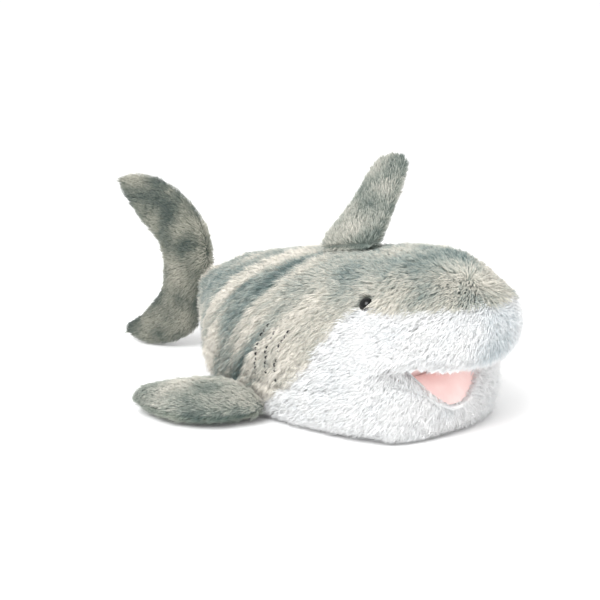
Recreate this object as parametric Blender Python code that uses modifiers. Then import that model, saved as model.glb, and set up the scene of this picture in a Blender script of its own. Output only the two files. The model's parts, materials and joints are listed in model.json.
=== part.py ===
"""Plush shark: fur panels over fibre filling, with sewn-on fins, a lower jaw and a tail that spring back.

The shark lies on its belly. +Z is up, the nose points along -Y, and its left side is at +X. The origin is on
the floor, under the middle of its length. Shape tables are in millimetres.
"""

import math

import bmesh
import bpy
import numpy as np
from mathutils import Matrix, Vector

MM = 0.001

# Driving dimensions
NOSE_Y = -197.0  # the front of the snout
JAW_FRONT_Y = -160.0  # the front of the lower jaw
PLUSH = 6.0  # thickness of the body's fabric with its pile
FIN_PLUSH = 4.0  # the same on the fins
LINING = 2.0  # thickness of the mouth's velour
GAP = 0.35  # clearance between pieces that touch
LOOSE = 2.2  # clearance between a curved panel and its filling

# Joints
JAW_HINGE = (-128.0, 50.0)  # y and z of the axis through the corners of the mouth
TAIL_Y = 115.0  # the upright axis that the tail sways about
TAIL_BEND = -24.0  # degrees: at rest the tail is bent to the shark's right
MIDDLE_SHIFT = -5.67  # brings the middle of the length over the origin
TAIL_R = 29.5  # radius of the tail stock's rounded front
DORSAL_LEAN = 45.0  # degrees: at rest the dorsal fin leans to the shark's left
FIN_HINGE = 11.0  # from a pectoral fin's root edge to the axis that it flaps about
DORSAL_HINGE = 10.0

RING = 30  # points round a section of the body
PANEL_FRONT_Y = -189.5  # where the front panel meets the others
SPLIT_Y = -118.0  # where the head's filling meets the trunk's
TRUNK_ROWS = 15
FIN_RING = 16
FIN_ROWS = 10

# Body outline along y: half width, top, bottom and height of the widest point
HALF_WIDTH = ((-182, 29), (-165, 41), (-140, 58), (-118, 71), (-95, 78), (-60, 84), (-20, 85), (20, 79),
              (55, 66), (85, 48), (108, 33), (116, 29), (125, 22), (133, 13))
TOP = ((-182, 119), (-165, 126), (-130, 132), (-95, 130), (-50, 121), (0, 111), (50, 101), (85, 92),
       (115, 79), (133, 74))
BOTTOM = ((-118, -1.5), (45, -1.5), (75, 3), (100, 10), (115, 15), (133, 22))
WIDEST = ((-118, 48), (-80, 42), (0, 40), (60, 42), (115, 47), (133, 48))
FLATNESS = ((-118, 3.6), (-60, 4.0), (20, 4.0), (80, 3.0), (115, 2.4), (133, 2.4))  # of the underside
# Upper jaw: the lip, and how its widest point moves up towards the snout
LIP = ((-182, 59), (-150, 56), (-118, 50.4))
MUZZLE_WIDEST = ((-182, 88), (-160, 80), (-138, 62), (-118, 50.6))
# Lower jaw
JAW_HALF_WIDTH = ((-150, 42), (-138, 55), (-118, 71))
JAW_TOP = ((-152, 37), (-138, 43), (-122, 46.5))
JAW_BACK_Y = -126.0
JAW_ROUND = 20.0  # depth of its rounded front
# Where the grey plush meets the white, along y
SEAM = ((-190, 110), (-182, 104), (-160, 98), (-125, 95), (-108, 90), (-95, 72), (-75, 48), (-50, 27),
        (-30, 19), (0, 16), (60, 16), (115, 30))

EYE_AT = (-114.0, 101.0)  # y and z
EYE_R = 6.0
POST_R = 2.0
WASHER_R = 8.0
GILL_YS = (-50.0, -39.0, -28.0)
GILL_Z = (34.0, 74.0)
THREAD_R = 0.6
TOOTH = 3.5  # half the spacing of the felt teeth
FELT = 1.0

# Fins: span from the root, front edge, back edge, half thickness
PECTORAL = ((0, -37, 26, 1.0), (2.5, -39, 29, 6.6), (6, -40, 30, 9.6), (11, -40, 31, 11), (26, -37, 37, 11.5),
            (40, -30, 44, 11.2), (51, -18, 48, 10.5), (58, -4, 47, 8.5), (62, 9, 39, 2.4))
DORSAL = ((0, -62, -16, 1.0), (2.5, -65, -14, 6), (6, -67, -13, 9), (10, -67, -13, 10), (28, -66, -18, 10.5),
          (48, -62, -21, 10), (66, -58, -22, 9), (78, -54, -23, 7), (84, -47, -28, 2))
# Tail fin, from the upper tip to the lower: front edge (behind the axis, height), back edge, half thickness
TAIL_FIN = ((97, 145, 102, 140, 1.6), (80, 148, 96, 128, 6), (56, 144, 83, 111, 8.5), (32, 128, 67, 95, 10),
            (16, 104, 60, 82, 11.5), (12, 74, 59, 67, 11.5), (15, 45, 62, 52, 11.5), (28, 20, 72, 37, 11),
            (48, 6, 84, 25, 9), (72, 1.5, 96, 17, 6), (89, 4, 98, 12, 1.6))

ROOT_X = 94.5  # the pectoral hinges' distance from the middle
ROOT_Z = 12.5
GREY = (0.52, 0.53, 0.48)
WHITE = (0.93, 0.94, 0.96)
PINK = (0.93, 0.62, 0.60)
FILLING = (0.94, 0.94, 0.92)
BLACK = (0.01, 0.01, 0.012)


def smooth(table, x):
    """The table's columns at x, on a smooth curve through its rows."""
    rows = np.array(table, float)
    xs, ys = rows[:, 0], rows[:, 1:]
    slopes = np.gradient(ys, xs, axis=0)
    x = min(max(x, xs[0]), xs[-1])
    i = min(int(np.searchsorted(xs, x, side="right")) - 1, len(xs) - 2)
    h = xs[i + 1] - xs[i]
    t = (x - xs[i]) / h
    value = (2 * t**3 - 3 * t**2 + 1) * ys[i] + (3 * t**2 - 2 * t**3) * ys[i + 1]
    value += (t**3 - 2 * t**2 + t) * h * slopes[i] + (t**3 - t**2) * h * slopes[i + 1]
    return value if len(value) > 1 else float(value[0])


def oval(angle, half_x, up, down, power_up, power_down):
    """A point of a superellipse whose upper and lower halves differ."""
    c, s = math.cos(angle), math.sin(angle)
    power = power_up if s >= 0 else power_down
    x = half_x * math.copysign(abs(c) ** (2 / power), c)
    z = (up if s >= 0 else -down) * abs(s) ** (2 / power)
    return x, z


def rounded(y, front, depth):
    """How much a section shrinks within depth of a blunt front."""
    t = (front + depth - y) / depth
    return 1.0 if t <= 0 else max(1 - min(t, 1) ** 2, 0) ** 0.5


# Each section function gives a point of the surface at y and an angle, inset along the radius.


def torso_point(y, angle, inset=0.0):
    widest = smooth(WIDEST, y)
    half = smooth(HALF_WIDTH, y) - inset
    up = smooth(TOP, y) - widest - inset
    down = widest - smooth(BOTTOM, y) - inset
    x, z = oval(angle, half, up, down, 2.3, smooth(FLATNESS, y))
    return Vector((x, y, max(widest + z, inset))) * MM


def muzzle_point(y, angle, inset=0.0):
    depth = 20.0 - inset
    shrink = rounded(y, NOSE_Y + inset, depth)
    nose_z = 90.0
    widest = smooth(MUZZLE_WIDEST, y)
    half = (smooth(HALF_WIDTH, y) - inset) * shrink
    up = (smooth(TOP, y) - inset - nose_z) * shrink + nose_z - widest
    down = widest - nose_z + (nose_z - smooth(LIP, y) - inset) * shrink
    flat = min(max((y + 165.0) / 40.0, 0.0), 1.0)
    x, z = oval(angle, half, up, max(down, 0.1), 2.3, 2.6 + 3 * flat)
    return Vector((x, y, widest + z)) * MM


def jaw_point(y, angle, inset=0.0):
    shrink = rounded(y, JAW_FRONT_Y + inset, JAW_ROUND - inset)
    middle = 19.0
    half = (smooth(JAW_HALF_WIDTH, y) - inset) * shrink
    top = middle + (smooth(JAW_TOP, y) - inset - middle) * shrink
    down = (middle + 1.5 - inset) * shrink
    x, z = oval(angle, half, top - middle, down, 4.0, 2.8)
    return Vector((x, y, max(middle + z, inset))) * MM


def angle_at(point, y, z, inset=0.0):
    """The angle, on the left side, at which a section passes through the height z."""
    low, high = -math.pi / 2, math.pi / 2
    for _ in range(40):
        middle = (low + high) / 2
        if point(y, middle, inset).z < z * MM:
            low = middle
        else:
            high = middle
    return low


def seam_angle(y, shift=0.0):
    point = muzzle_point if y < SPLIT_Y else torso_point
    return angle_at(point, y, smooth(SEAM, y) + shift)


# Building blocks


def material(name, color, roughness):
    made = bpy.data.materials.new(name)
    made.use_nodes = True
    shader = made.node_tree.nodes["Principled BSDF"]
    shader.inputs["Base Color"].default_value = (*color, 1)
    shader.inputs["Roughness"].default_value = roughness
    made.diffuse_color = (*color, 1)
    return made


def add(name, points, faces, color):
    mesh = bpy.data.meshes.new(name)
    mesh.from_pydata([tuple(p) for p in points], [], faces)
    shaped = bmesh.new()
    shaped.from_mesh(mesh)
    bmesh.ops.recalc_face_normals(shaped, faces=shaped.faces)
    if shaped.calc_volume(signed=True) < 0:
        bmesh.ops.reverse_faces(shaped, faces=shaped.faces)
    shaped.to_mesh(mesh)
    shaped.free()
    mesh.shade_smooth()
    mesh.set_sharp_from_angle(angle=math.radians(50))
    mesh.materials.append(material(name, *color))
    made = bpy.data.objects.new(name, mesh)
    shark.objects.link(made)
    return made


def strip(faces, first, second, closed):
    """Quads between two rows of vertex numbers."""
    count = len(first)
    for j in range(count if closed else count - 1):
        k = (j + 1) % count
        faces.append((first[j], first[k], second[k], second[j]))


def loft(name, rings, color):
    """A solid through closed rings, capped flat at both ends."""
    points = [p for ring in rings for p in ring]
    size = len(rings[0])
    rows = [list(range(i * size, (i + 1) * size)) for i in range(len(rings))]
    faces = [tuple(reversed(rows[0])), tuple(rows[-1])]
    for first, second in zip(rows, rows[1:]):
        strip(faces, first, second, closed=True)
    return add(name, points, faces, color)


def shell(name, outer, inner, color):
    """A sheet with thickness: two grids of points of the same size, joined round their edge."""
    rows, columns = len(outer), len(outer[0])
    points = [p for grid in (outer, inner) for row in grid for p in row]

    def numbers(side, i):
        start = (side * rows + i) * columns
        return list(range(start, start + columns))

    faces = []
    for side in (0, 1):
        for i in range(rows - 1):
            strip(faces, numbers(side, i), numbers(side, i + 1), closed=False)
    for i in (0, rows - 1):
        strip(faces, numbers(0, i), numbers(1, i), closed=False)
    for j in (0, columns - 1):
        strip(faces, [numbers(0, i)[j] for i in range(rows)], [numbers(1, i)[j] for i in range(rows)], closed=False)
    return add(name, points, faces, color)


def tube(name, route, radius, color):
    """A thread along a list of points."""
    curve = bpy.data.curves.new(name, "CURVE")
    curve.dimensions = "3D"
    curve.bevel_depth = radius * MM
    curve.bevel_resolution = 1
    curve.use_fill_caps = True
    spline = curve.splines.new("POLY")
    spline.points.add(len(route) - 1)
    for point, place in zip(spline.points, route):
        point.co = (*place, 1)
    curve.materials.append(material(name, *color))
    made = bpy.data.objects.new(name, curve)
    shark.objects.link(made)
    return made


def cut(target, cutter, operation="DIFFERENCE"):
    modifier = target.modifiers.new(cutter.name, "BOOLEAN")
    modifier.operation = operation
    modifier.object = cutter


def helper(made):
    """Turns an object into a cutter: it stays out of the shark."""
    for collection in made.users_collection:
        collection.objects.unlink(made)
    cutters.objects.link(made)
    made.hide_render = True
    made.display_type = "WIRE"
    return made


def spread(start, end, count):
    return [start + (end - start) * i / (count - 1) for i in range(count)]


def ring_of(point, y, inset, count=RING):
    return [point(y, 2 * math.pi * i / count, inset) for i in range(count)]


def front_ys(front, depth, end, step, count=5):
    """Section places from just behind a blunt front to end, closer together where it is round."""
    ys = [front + depth * (1 - math.cos(math.radians(a))) for a in spread(8, 90, count)]
    return ys + spread(ys[-1], end, max(2, round((end - ys[-1]) / step) + 1))[1:]


# Body

HEAD_YS = [*spread(PANEL_FRONT_Y, -178, 5), *spread(-170, SPLIT_Y - GAP / 2, 7)]
TRUNK_YS = spread(SPLIT_Y + GAP / 2, TAIL_Y - 6, TRUNK_ROWS)


def side_sign(side):
    return 1 if side == "left" else -1


def mirror(point, side):
    return Vector((point.x * side_sign(side), point.y, point.z))


def body_point(y, angle, inset=0.0):
    return (muzzle_point if y < SPLIT_Y else torso_point)(y, angle, inset)


def back_panel(side):
    columns = 8
    grids = []
    for inset in (0.0, PLUSH):
        grid = []
        for y in HEAD_YS + TRUNK_YS:
            low = seam_angle(y, GAP / 2 + 0.3)
            high = math.pi / 2 - GAP / max(2 * smooth(HALF_WIDTH, y), 1)
            row = []
            for angle in spread(low, high, columns):
                point = mirror(body_point(max(y, NOSE_Y + inset + 1.5), angle, inset), side)
                point.y = y * MM
                row.append(point)
            grid.append(row)
        grids.append(grid)
    return shell(f"back_panel_{side}", *grids, (GREY, 0.95))


def muzzle_side(side):
    grids = []
    for inset in (0.0, PLUSH):
        grid = []
        for y in HEAD_YS:
            low = math.radians(-58)
            high = seam_angle(y, -GAP / 2 - 0.3)
            row = []
            for angle in spread(low, high, 7):
                point = mirror(muzzle_point(max(y, NOSE_Y + inset + 1.5), angle, inset), side)
                point.y = y * MM
                row.append(point)
            grid.append(row)
        grids.append(grid)
    return shell(f"muzzle_panel_{side}", *grids, (WHITE, 0.95))


def cup(name, point, front, rim, thickness, color, count=RING):
    """A domed front: rings from the rim over the outside to its middle, and back along the inside."""
    outer, inner = [], []
    for a in spread(8, 90, 6):
        outer.append(front + (rim - front) * (1 - math.cos(math.radians(a))))
        inner.append(front + thickness + (rim - front - thickness) * (1 - math.cos(math.radians(a))))
    rings = [ring_of(point, y, 0.0, count) for y in outer]
    rings = list(reversed(rings))
    back = [ring_of(point, y, thickness, count) for y in inner]
    points = [p for ring in rings + back for p in ring]
    rows = [list(range(i * count, (i + 1) * count)) for i in range(len(rings) + len(back))]
    faces = []
    for i in range(len(rows) - 1):
        if i != len(rings) - 1:
            strip(faces, rows[i], rows[i + 1], closed=True)
    strip(faces, rows[-1], rows[0], closed=True)
    faces.append(tuple(rows[len(rings) - 1]))
    faces.append(tuple(rows[len(rings)]))
    return add(name, points, faces, color)


def belly_panel():
    grids = []
    for inset in (0.0, PLUSH):
        grid = []
        for y in TRUNK_YS:
            high = angle_at(torso_point, y, smooth(SEAM, y) - GAP / 2 - 0.3)
            row = [torso_point(y, angle, inset) for angle in spread(-math.pi - high, high, 17)]
            grid.append(row)
        grids.append(grid)
    return shell("belly_panel", *grids, (WHITE, 0.95))


def palate_lining():
    ys = spread(PANEL_FRONT_Y, JAW_HINGE[0] - 3, 8)
    grids = []
    for inset in (1.0, 1.0 + LINING):
        grid = []
        for y in ys:
            row = []
            for angle in spread(math.radians(-117), math.radians(-63), 8):
                point = muzzle_point(max(y, NOSE_Y + inset + 1.5), angle, inset)
                point.y = y * MM
                row.append(point)
            grid.append(row)
        grids.append(grid)
    return shell("palate_lining", *grids, (PINK, 0.6))


def head_filling():
    inset = PLUSH + LOOSE
    ys = [*front_ys(NOSE_Y + inset, 20.0 - inset, -178, 4), *HEAD_YS[5:]]
    return loft("head_filling", [ring_of(muzzle_point, y, inset) for y in ys], (FILLING, 0.9))


def body_filling():
    inset = PLUSH + LOOSE
    return loft("body_filling", [ring_of(torso_point, y, inset) for y in TRUNK_YS], (FILLING, 0.9))


def jaw_pieces():
    inset = PLUSH + LOOSE
    rim = JAW_FRONT_Y + 11
    back = JAW_BACK_Y
    cup("chin_front_panel", jaw_point, JAW_FRONT_Y, rim - GAP, PLUSH, (WHITE, 0.95), 28)
    lip = math.radians(32)
    grids = []
    for depth in (0.0, PLUSH):
        grids.append([[jaw_point(y, angle, depth) for angle in spread(-math.pi - lip, lip, 18)]
                      for y in spread(rim, back, 6)])
    shell("chin_panel", *grids, (WHITE, 0.95))
    edge = math.radians(38)
    grids = []
    for depth in (0.6, 0.6 + LINING):
        grids.append([[jaw_point(y, angle, depth) for angle in spread(edge, math.pi - edge, 10)]
                      for y in spread(rim, back, 6)])
    shell("jaw_lining", *grids, (PINK, 0.6))
    ys = front_ys(JAW_FRONT_Y + inset, JAW_ROUND - inset, back, 9)
    loft("jaw_filling", [ring_of(jaw_point, y, inset, 28) for y in ys], (FILLING, 0.9))


# Fins


def fin_station(table, u):
    """Front edge, back edge and half thickness at u from 0 to 1 along the fin."""
    rows = [(i / (len(table) - 1), *row) for i, row in enumerate(table)]
    return smooth(rows, u)


def fin_point(table, u, angle, inset, place):
    """A point of a padded fin: an oval between its front and back edges."""
    row = fin_station(table, u)
    if len(row) == 4:
        front, back, half = Vector((row[0], row[1])), Vector((row[0], row[2])), row[3]
    else:
        front, back, half = Vector(row[0:2]), Vector(row[2:4]), row[4]
    chord = (back - front).length / 2
    x, z = oval(angle, max(chord - inset, 0.5), max(half - inset, 0.3), max(half - inset, 0.3), 2.1, 2.1)
    along = (back - front).normalized() * x + (front + back) / 2
    return place @ (Vector((along.x, along.y, z)) * MM)


def fin(name, table, place, halves):
    """Two plush panels that meet at the fin's edge, and the filling between them."""
    us = [0.0, 0.03, 0.08, *spread(0.16, 0.9, FIN_ROWS - 4), 0.96, 1.0]
    tight = [0.09 + 0.84 * u for u in us]
    edge = math.radians(2.5)
    for half, (start, end) in zip(halves, ((edge, math.pi - edge), (math.pi + edge, 2 * math.pi - edge))):
        outer = [[fin_point(table, u, a, 0.0, place) for a in spread(start, end, FIN_RING // 2 + 1)] for u in us]
        inner = [[fin_point(table, u, a, FIN_PLUSH, place) for a in spread(start, end, FIN_RING // 2 + 1)] for u in tight]
        shell(f"{name}_{half}", outer, inner, (GREY, 0.95))
    inset = FIN_PLUSH + LOOSE
    us = spread(0.12, 0.9, FIN_ROWS)
    angles = [2 * math.pi * i / FIN_RING for i in range(FIN_RING)]
    rings = [[fin_point(table, u, a, inset, place) for a in angles] for u in us]
    loft(f"{name}_filling", rings, (FILLING, 0.9))


def axes(x, y, z, origin):
    """A matrix whose columns are the local axes in the world."""
    made = Matrix((x, y, z)).transposed().to_4x4()
    made.translation = Vector(origin) * MM
    return made


def pectoral(side):
    out = side_sign(side)
    start = out * (ROOT_X - FIN_HINGE)
    place = axes((out, 0, 0), (0, 1, 0), (0, 0, 1), (start, 0, ROOT_Z))
    fin(f"pectoral_{side}", PECTORAL, place, ("top", "bottom"))


def dorsal():
    lean = math.radians(DORSAL_LEAN)
    slope = math.atan2(smooth(TOP, -60) - smooth(TOP, -6), 54)
    up = Vector((math.sin(lean), 0, math.cos(lean)))
    back = Vector((0, math.cos(slope), -math.sin(slope)))
    across = up.cross(back).normalized()
    up = back.cross(across).normalized()
    middle = (DORSAL[3][1] + DORSAL[3][2]) / 2
    hinge = Vector((0, middle, smooth(TOP, middle) + DORSAL_HINGE + 1.2))
    origin = hinge - up * DORSAL_HINGE - back * middle
    fin("dorsal", DORSAL, axes(up, back, across, origin), ("right", "left"))


def tail_turn():
    pivot = Matrix.Translation((0, TAIL_Y * MM, 0))
    return pivot @ Matrix.Rotation(math.radians(-TAIL_BEND), 4, "Z") @ pivot.inverted()


def tail_fin():
    place = tail_turn() @ axes((0, 1, 0), (0, 0, 1), (1, 0, 0), (0, TAIL_Y, 0))
    fin("tail_fin", TAIL_FIN, place, ("left", "right"))


def tail_stock():
    """The body's narrow rear end, from the rounded joint to the tail fin."""
    turn = tail_turn()
    start, end = TAIL_Y - TAIL_R - 2, TAIL_Y + 10
    ys = spread(start, end, 8)
    made = []
    half = 0.5 * math.pi
    for side in ("left", "right"):
        grids = []
        for inset in (0.0, PLUSH - 1):
            grids.append([[stock_point(y, a, inset, side) for a in spread(-half, half, 13)] for y in ys])
        made.append(shell(f"tail_stock_panel_{side}", *grids, (GREY, 0.95)))
    inset = PLUSH - 1 + LOOSE
    made.append(loft("tail_stock_filling", [ring_of(torso_point, y, inset, 28) for y in ys], (FILLING, 0.9)))
    reach = plan_prism("tail_reach", TAIL_R)
    for piece in made:
        cut(piece, reach, "INTERSECT")
        piece.matrix_world = turn
    reach.matrix_world = turn


def stock_point(y, angle, inset, side):
    point = torso_point(y, angle, inset)
    return Vector((max(point.x, GAP / 2 * MM) * side_sign(side), point.y, point.z))


def plan_prism(name, radius):
    """An upright solid with a round front of this radius about the tail's axis, open to the rear."""
    count = 24
    outline = [(radius * math.cos(a), TAIL_Y - radius * math.sin(a)) for a in spread(0, math.pi, count)]
    outline += [(-60, TAIL_Y + 60), (60, TAIL_Y + 60)]
    rings = [[Vector((x, y, z)) * MM for x, y in outline] for z in (-20, 160)]
    return helper(loft(name, rings, (GREY, 1.0)))


# Small pieces


def outward(point, y, angle, inset=0.0):
    """The surface's normal, pointing out."""
    step = 0.5
    along = point(y + step, angle, inset) - point(y - step, angle, inset)
    turn = math.radians(1)
    round_it = point(y, angle + turn, inset) - point(y, angle - turn, inset)
    return round_it.cross(-along).normalized() if round_it.length else Vector((0, 0, 1))


def turned(name, profile, place, color, count=16):
    """A solid of revolution about the local z axis, from a closed profile of radius and height."""
    mesh = bpy.data.meshes.new(name)
    made = bpy.data.objects.new(name, mesh)
    shark.objects.link(made)
    on_axis = profile[0][0] == 0
    points = [(r * MM, 0, z * MM) for r, z in profile]
    edges = [(i, i + 1) for i in range(len(points) - 1)]
    if not on_axis:
        edges.append((len(points) - 1, 0))
    mesh.from_pydata(points, edges, [])
    mesh.materials.append(material(name, *color))
    screw = made.modifiers.new("turn", "SCREW")
    screw.steps = screw.render_steps = count
    screw.use_merge_vertices = True
    screw.merge_threshold = 1e-5
    screw.use_smooth_shade = True
    made.matrix_world = place
    return made


def facing(origin, normal):
    made = normal.to_track_quat("Z", "Y").to_matrix().to_4x4()
    made.translation = origin
    return made


def eye(side, panel, fillings):
    """A domed safety eye: its post goes through the plush, and a washer locks it from behind."""
    y, z = EYE_AT
    angle = angle_at(body_point, y, z)
    at = mirror(body_point(y, angle), side)
    normal = mirror(outward(body_point, y, angle), side)
    place = facing(at + normal * 0.8 * MM, normal)
    dome = [(EYE_R * math.sin(math.radians(a)), 0.75 * EYE_R * math.cos(math.radians(a))) for a in spread(0, 90, 7)]
    dome[0] = (0, dome[0][1])
    post_end = -PLUSH - 8
    turned(f"eye_{side}", [*dome, (EYE_R, -0.1), (POST_R, -0.1), (POST_R, post_end), (0, post_end)], place,
           (BLACK, 0.1))
    back = -PLUSH - 2.3
    washer = [(WASHER_R, back), (WASHER_R, back - 1.5), (POST_R + 0.3, back - 1.5), (POST_R + 0.3, back)]
    turned(f"eye_washer_{side}", washer, place, (WHITE, 0.5))
    hole = helper(turned(f"eye_hole_{side}", [(0, 3), (POST_R + 0.4, 3), (POST_R + 0.4, -20), (0, -20)], place,
                         (BLACK, 1.0)))
    pocket = helper(turned(f"eye_pocket_{side}", [(0, 3), (WASHER_R + 0.5, 3), (WASHER_R + 0.5, post_end - 0.8),
                                                  (0, post_end - 0.8)], place, (BLACK, 1.0)))
    cut(panel, hole)
    for filling in fillings:
        cut(filling, pocket)


def gills(side):
    """Three lines of black stitching on the cheek."""
    for number, y in enumerate(GILL_YS, 1):
        route = []
        for t in spread(0, 1, 10):
            z = GILL_Z[0] + (GILL_Z[1] - GILL_Z[0]) * t
            bow = y + 5 * (1 - (2 * t - 1) ** 2) - 6 * t
            angle = angle_at(torso_point, bow, z)
            lift = outward(torso_point, bow, angle) * (THREAD_R + 0.5) * MM
            route.append(mirror(torso_point(bow, angle) + lift, side))
        tube(f"gill_stitches_{side}_{number}", route, THREAD_R, (BLACK, 0.6))


def teeth(name, point, angle, ys, height, direction):
    """A felt strip with a zigzag edge, just clear of the lip, from one corner of the mouth to the other."""
    side = [point(y, math.radians(angle), 0.0) for y in ys]
    side += [point(ys[-1], math.radians(a), 0.0) for a in spread(angle, 90 * direction, 6)[1:-1]]
    path = side + [mirror(p, "right") for p in reversed(side)]
    along = [0.0]
    for a, b in zip(path, path[1:]):
        along.append(along[-1] + (b - a).length)
    count = 2 * round(along[-1] / (2 * TOOTH * MM))

    def at(share):
        length = min(max(share, 0.0), 1.0) * along[-1]
        k = min(max(int(np.searchsorted(along, length)) - 1, 0), len(path) - 2)
        return path[k].lerp(path[k + 1], (length - along[k]) / (along[k + 1] - along[k]))

    outer, inner = [], []
    for i in range(count + 1):
        here = at(i / count)
        forward = at((i + 0.5) / count) - at((i - 0.5) / count)
        inwards = Vector((-forward.y, forward.x, 0)).normalized() * FELT * MM
        grown = min(1.0, 0.4 + 5.0 * min(i, count - i) / count)
        base = here + Vector((0, 0, 0.9 * MM * direction))
        tip = here + Vector((0, 0, (height * grown if i % 2 else 1.6) * MM * direction))
        outer.append([base, tip])
        inner.append([base + inwards, tip + inwards])
    return shell(name, outer, inner, ((0.96, 0.96, 0.95), 0.9))


def main():
    head = head_filling()
    filling = body_filling()
    panels = {side: back_panel(side) for side in ("left", "right")}
    for side, panel in panels.items():
        muzzle_side(side)
        eye(side, panel, (head, filling))
        gills(side)
        pectoral(side)
    cup("muzzle_front_panel", muzzle_point, NOSE_Y, PANEL_FRONT_Y - GAP, PLUSH, (WHITE, 0.95))
    belly = belly_panel()
    palate_lining()
    jaw_pieces()
    teeth("upper_teeth", muzzle_point, -60, spread(-142, -184, 9), 4.5, -1)
    teeth("lower_teeth", jaw_point, 35, spread(-134, -147.5, 7), 3.0, 1)
    dorsal()
    tail_stock()
    tail_fin()
    socket = plan_prism("tail_socket", TAIL_R + 0.5)
    for piece in (belly, filling, *panels.values()):
        cut(piece, socket)
    to_middle = Matrix.Translation((0, MIDDLE_SHIFT * MM, 0))
    for made in (*shark.objects, *cutters.objects):
        made.matrix_world = to_middle @ made.matrix_world


for old in list(bpy.data.objects):
    bpy.data.objects.remove(old, do_unlink=True)
shark = bpy.data.collections.new("plush_shark")
cutters = bpy.data.collections.new("cutters")
bpy.context.scene.collection.children.link(shark)
bpy.context.scene.collection.children.link(cutters)
main()
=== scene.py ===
"""Looks for the plush shark: every panel's fur as fine tapered strands on a thin knitted backing, with
velour, felt, thread and glossy eyes. The shapes follow the solid model's outline, with a shorter, lower
snout and a shorter jaw. Tables are in millimetres, before the shift to the middle.
"""

import json
import math

import bpy
import numpy as np
from mathutils import Matrix, Vector, kdtree, noise


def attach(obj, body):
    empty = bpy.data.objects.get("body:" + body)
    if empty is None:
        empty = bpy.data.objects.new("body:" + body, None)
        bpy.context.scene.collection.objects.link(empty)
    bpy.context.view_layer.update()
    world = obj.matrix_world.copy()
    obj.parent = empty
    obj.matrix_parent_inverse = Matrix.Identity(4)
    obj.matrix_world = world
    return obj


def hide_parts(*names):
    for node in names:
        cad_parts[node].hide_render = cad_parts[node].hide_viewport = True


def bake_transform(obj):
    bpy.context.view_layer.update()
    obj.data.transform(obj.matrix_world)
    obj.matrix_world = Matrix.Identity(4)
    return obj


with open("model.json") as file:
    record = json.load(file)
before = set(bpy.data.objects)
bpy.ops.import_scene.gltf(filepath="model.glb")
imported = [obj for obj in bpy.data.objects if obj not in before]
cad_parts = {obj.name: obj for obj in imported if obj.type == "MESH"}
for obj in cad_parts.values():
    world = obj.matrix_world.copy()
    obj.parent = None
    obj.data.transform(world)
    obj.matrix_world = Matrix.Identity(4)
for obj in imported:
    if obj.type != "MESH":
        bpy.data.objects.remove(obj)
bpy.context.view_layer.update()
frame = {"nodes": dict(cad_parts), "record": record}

MM = 0.001
SHIFT_Y = -5.67
rng = np.random.default_rng(7)

# Outline of the shark along y, before the pile

NOSE_Y = -187.0
JAW_FRONT_Y = -149.0
JAW_ROUND = 18.0
SPLIT_Y = -118.0
MUZZLE_ROUND = 25.0  # depth of the muzzle's rounded front
NOSE_Z = 88.0
JAW_MIDDLE_Z = 19.0
TAIL_Y = 115.0
TAIL_BEND = 24.0
DORSAL_LEAN = 45.0
DENSITY = 1.5  # fibres per square millimetre where a patch asks for 1
PLUSH = 5.2  # depth of the fabric's backing under the solid model's surface

HALF_WIDTH = ((-182, 33), (-165, 43), (-140, 58), (-118, 71), (-95, 78), (-60, 84), (-20, 85), (20, 79),
              (55, 66), (85, 48), (108, 33), (116, 29), (125, 22), (133, 13))
TOP = ((-182, 104), (-165, 114), (-140, 127), (-125, 131.5), (-95, 130), (-50, 121), (0, 111), (50, 101),
       (85, 92), (115, 79), (133, 74))
BOTTOM = ((-118, -1.5), (45, -1.5), (75, 3), (100, 10), (115, 15), (133, 22))
WIDEST = ((-118, 46), (-80, 38), (0, 36), (60, 40), (115, 47), (133, 48))
FLATNESS = ((-118, 4.2), (-60, 5.0), (20, 5.0), (80, 3.4), (115, 2.4), (133, 2.4))
LIP = ((-182, 58), (-160, 55), (-143, 57), (-130, 53), (-118, 50.4))
MUZZLE_WIDEST = ((-182, 88), (-160, 80), (-138, 62), (-118, 50.6))
JAW_HALF_WIDTH = ((-150, 38), (-140, 45), (-128, 60), (-118, 71))
JAW_RIM = ((-150, 0), (-145, 3), (-140, 7), (-134, 9), (-126, 3), (-118, 0))  # rise towards the sides
JAW_TOP = ((-152, 31), (-146, 35.5), (-140, 41), (-133, 46), (-122, 49))
SEAM = ((-200, 102), (-190, 102), (-182, 102), (-160, 101), (-125, 97), (-105, 92), (-92, 74), (-75, 48),
        (-50, 27), (-30, 19), (0, 16), (60, 16), (115, 30), (133, 36))
PECTORAL = ((0, -37, 26, 1.0), (2.5, -39, 29, 6.6), (6, -40, 30, 9.6), (11, -40, 31, 11), (26, -37, 37, 11.5),
            (40, -30, 44, 11.2), (51, -18, 48, 10.5), (58, -4, 47, 8.5), (62, 9, 39, 2.4))
DORSAL = ((-5.5, -67, -12, 2.0), (-2, -70, -10, 8), (3, -71, -10, 9.5), (10, -70, -12, 10.5),
          (28, -67, -18, 10.5), (48, -63, -21, 10), (66, -59, -21, 9), (77, -55, -22, 7), (83, -48, -28, 2))
TAIL_FIN = ((97, 145, 102, 140, 1.6), (80, 148, 96, 128, 6), (56, 144, 83, 111, 8.5), (32, 128, 67, 95, 10),
            (16, 104, 60, 82, 11.5), (12, 74, 59, 67, 11.5), (15, 45, 62, 52, 11.5), (28, 20, 72, 37, 11),
            (48, 6, 84, 25, 9), (72, 1.5, 96, 17, 6), (89, 4, 98, 12, 1.6))
ROOT_X, ROOT_Z, FIN_HINGE, DORSAL_HINGE = 94.5, 12.5, 11.0, 10.0
EYE_AT = (-114.0, 101.0)
EYE_R = 5.2
EYE_SINK = 1.6  # how far the eye sits in the pile


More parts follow.
